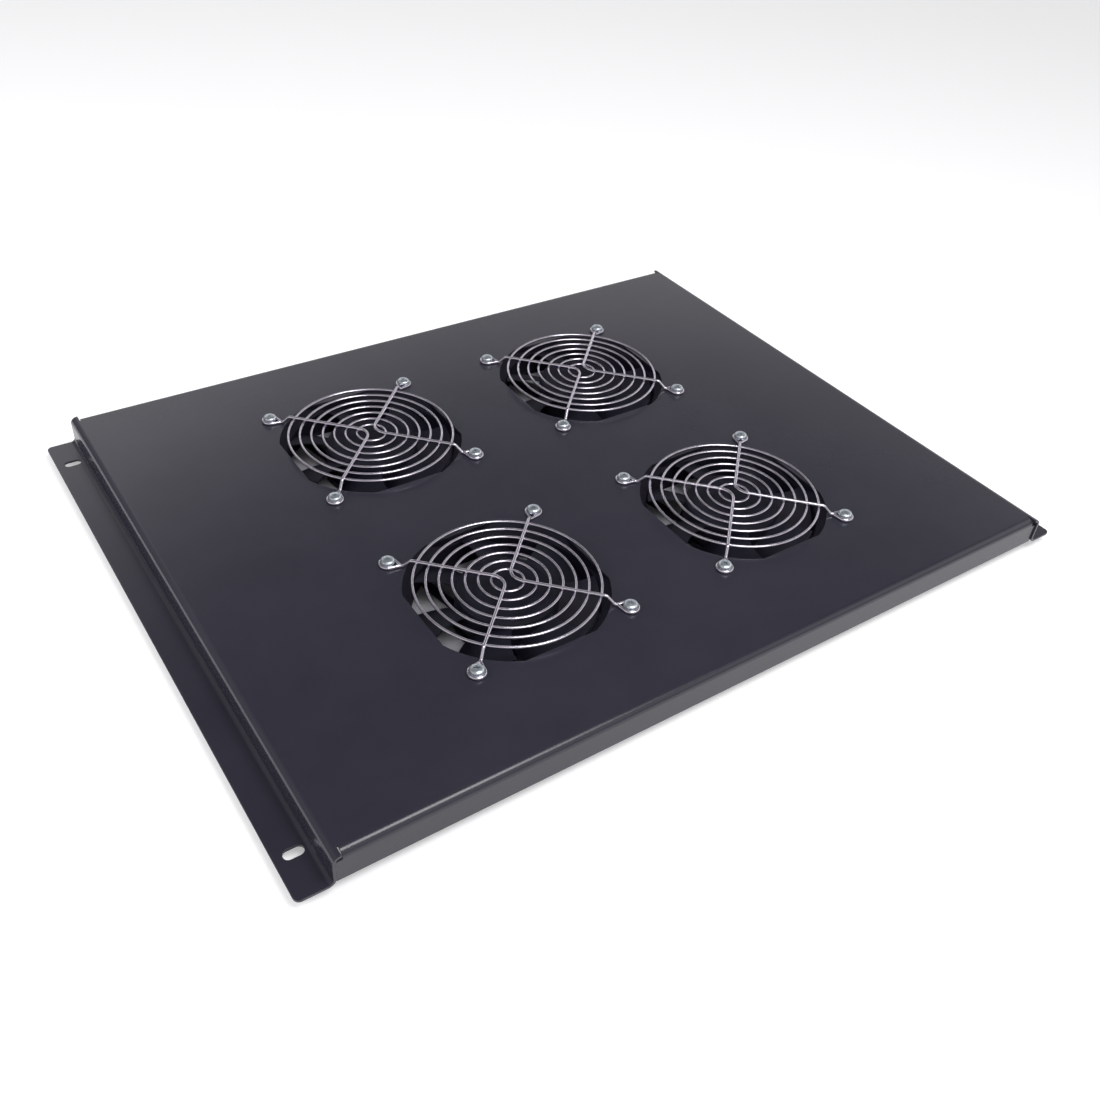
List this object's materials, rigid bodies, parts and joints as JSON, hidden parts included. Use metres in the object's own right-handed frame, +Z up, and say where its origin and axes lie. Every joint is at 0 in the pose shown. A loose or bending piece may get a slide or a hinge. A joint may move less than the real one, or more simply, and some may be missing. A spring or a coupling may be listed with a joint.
{
  "type": "rack fan tray",
  "caption": "Shallow folded steel cooling tray for a server rack, with axial fans hung under wire finger guards and slotted mounting flanges along both sides.",
  "frame": {"origin": "middle of the tray in plan, at the height of the fans' underside, which is the lowest point", "axes": "+X along the long side from flange to flange, +Y towards the rear wall with the cable grommet, +Z up through the finger guards"},
  "size_m": [0.558, 0.419, 0.034],
  "materials": {
    "powder_coated_steel": "satin fine-texture charcoal powder coat",
    "guard_wire": "bright nickel-chrome plated steel wire",
    "zinc_steel": "bright zinc-plated steel, clear passivated",
    "fan_frame_plastic": "moulded black PBT, fine satin",
    "impeller_plastic": "moulded black PBT, smooth satin",
    "rotor_steel": "drawn steel",
    "bearing_steel": "ground bearing steel",
    "lamination_steel": "stacked silicon steel",
    "copper_winding": "enamelled copper wire",
    "copper_flashed_stud": "copper-flashed steel",
    "brass": "plain",
    "nylon": "natural moulded nylon",
    "black_rubber": "moulded"
  },
  "bodies": {
    "tray": {"tray_panel": "powder_coated_steel", "rear_grommet": "black_rubber", "terminal_block": "nylon", "terminal_clamps": "brass", "terminal_screws": "zinc_steel", "weld_studs": "copper_flashed_stud", "stud_nuts": "zinc_steel", "earth_washer": "zinc_steel", "rear_left_fan_frame": "fan_frame_plastic", "rear_left_fan_terminals": "brass", "rear_left_bearings": "bearing_steel", "rear_left_stator_core": "lamination_steel", "rear_left_windings": "copper_winding", "rear_left_finger_guard": "guard_wire", "rear_left_guard_screws": "zinc_steel", "rear_left_washers": "zinc_steel", "rear_left_lock_nuts": "zinc_steel", "rear_right_fan_frame": "fan_frame_plastic", "rear_right_fan_terminals": "brass", "rear_right_bearings": "bearing_steel", "rear_right_stator_core": "lamination_steel", "rear_right_windings": "copper_winding", "rear_right_finger_guard": "guard_wire", "rear_right_guard_screws": "zinc_steel", "rear_right_washers": "zinc_steel", "rear_right_lock_nuts": "zinc_steel", "front_left_fan_frame": "fan_frame_plastic", "front_left_fan_terminals": "brass", "front_left_bearings": "bearing_steel", "front_left_stator_core": "lamination_steel", "front_left_windings": "copper_winding", "front_left_finger_guard": "guard_wire", "front_left_guard_screws": "zinc_steel", "front_left_washers": "zinc_steel", "front_left_lock_nuts": "zinc_steel", "front_right_fan_frame": "fan_frame_plastic", "front_right_fan_terminals": "brass", "front_right_bearings": "bearing_steel", "front_right_stator_core": "lamination_steel", "front_right_windings": "copper_winding", "front_right_finger_guard": "guard_wire", "front_right_guard_screws": "zinc_steel", "front_right_washers": "zinc_steel", "front_right_lock_nuts": "zinc_steel"},
    "rear_left_rotor": {"rear_left_impeller": "impeller_plastic", "rear_left_rotor_cup": "rotor_steel", "rear_left_shaft": "bearing_steel", "rear_left_retaining_clip": "bearing_steel"},
    "rear_right_rotor": {"rear_right_impeller": "impeller_plastic", "rear_right_rotor_cup": "rotor_steel", "rear_right_shaft": "bearing_steel", "rear_right_retaining_clip": "bearing_steel"},
    "front_left_rotor": {"front_left_impeller": "impeller_plastic", "front_left_rotor_cup": "rotor_steel", "front_left_shaft": "bearing_steel", "front_left_retaining_clip": "bearing_steel"},
    "front_right_rotor": {"front_right_impeller": "impeller_plastic", "front_right_rotor_cup": "rotor_steel", "front_right_shaft": "bearing_steel", "front_right_retaining_clip": "bearing_steel"}
  },
  "joints": [
    {"name": "rear_left_spin", "type": "hinge", "parent": "tray", "child": "rear_left_rotor", "pos_m": [-0.089, 0.089, 0.0125], "axis": [0, 0, 1], "continuous": true},
    {"name": "rear_right_spin", "type": "hinge", "parent": "tray", "child": "rear_right_rotor", "pos_m": [0.089, 0.089, 0.0125], "axis": [0, 0, 1], "continuous": true},
    {"name": "front_left_spin", "type": "hinge", "parent": "tray", "child": "front_left_rotor", "pos_m": [-0.089, -0.089, 0.0125], "axis": [0, 0, 1], "continuous": true},
    {"name": "front_right_spin", "type": "hinge", "parent": "tray", "child": "front_right_rotor", "pos_m": [0.089, -0.089, 0.0125], "axis": [0, 0, 1], "continuous": true}
  ]
}
